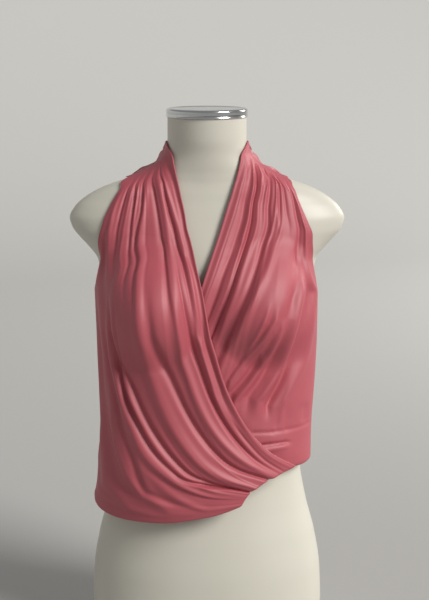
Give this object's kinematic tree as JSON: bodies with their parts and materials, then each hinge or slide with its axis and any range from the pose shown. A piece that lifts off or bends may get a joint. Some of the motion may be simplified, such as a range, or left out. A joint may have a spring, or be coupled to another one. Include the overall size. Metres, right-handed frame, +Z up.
{
  "type": "wrap blouse on a dress form",
  "caption": "Sleeveless wrap blouse in draped satin jersey, gathered at the shoulders, crossing at a deep V and swept to one side of the waist, on a limbless dress form with a metal neck cap.",
  "frame": {"origin": "Middle of the whole, at the level of the form's flat base.", "axes": "+Z is up along the body, -Y is the front of the blouse, +X is the wearer's left."},
  "size_m": [0.3844, 0.256, 0.7603],
  "materials": {
    "satin_jersey": "dusty rose satin jersey with a soft sheen",
    "cream_paint": "cream satin paint on fibreglass",
    "chromed_steel": "polished chrome"
  },
  "bodies": {
    "root": {"front_right": "satin_jersey", "front_left": "satin_jersey", "back_panel": "satin_jersey", "dress_form": "cream_paint", "neck_cap": "chromed_steel"}
  },
  "joints": []
}
